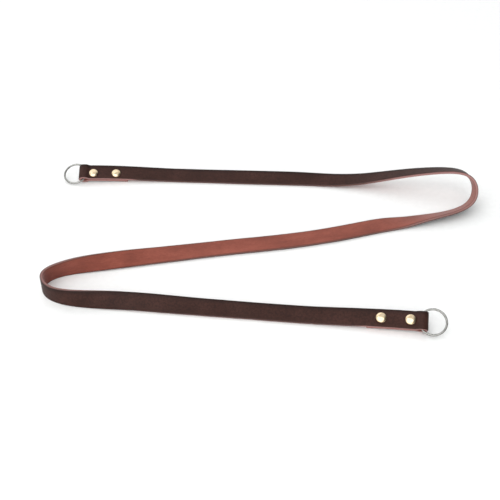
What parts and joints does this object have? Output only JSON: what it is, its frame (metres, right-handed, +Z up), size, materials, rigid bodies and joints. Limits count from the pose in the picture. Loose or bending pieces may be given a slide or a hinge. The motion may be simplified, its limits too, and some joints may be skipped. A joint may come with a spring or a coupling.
{
  "type": "camera neck strap",
  "caption": "Narrow flat leather neck strap for a camera, lying in an S, with riveted end loops that each hold a split wire ring.",
  "frame": {"origin": "centre of the bounding box at the surface that the strap lies on", "axes": "+X to the right along the runs of the S, +Y to the back, from the front run to the back run, +Z up"},
  "size_m": [0.3378, 0.1966, 0.0265],
  "materials": {
    "leather": "dark brown grain outside, red-brown suede flesh side inside",
    "rivet_brass": "polished pale gold",
    "ring_nickel": "nickel-plated wire"
  },
  "bodies": {
    "strap": {"strap": "leather", "rivet_left_outer": "rivet_brass", "rivet_left_inner": "rivet_brass", "rivet_right_outer": "rivet_brass", "rivet_right_inner": "rivet_brass"},
    "ring_left": {"ring_left": "ring_nickel"},
    "ring_right": {"ring_right": "ring_nickel"}
  },
  "joints": [
    {"name": "ring_left_swing", "type": "hinge", "parent": "strap", "child": "ring_left", "pos_m": [-0.15111, 0.0888, 0.00602], "axis": [-0.0226, 0.9266, 0.3753], "range_deg": [-12, 28]},
    {"name": "ring_right_swing", "type": "hinge", "parent": "strap", "child": "ring_right", "pos_m": [0.10487, -0.08842, 0.00681], "axis": [0.1015, 0.8567, 0.5057], "range_deg": [-20, 20]}
  ]
}
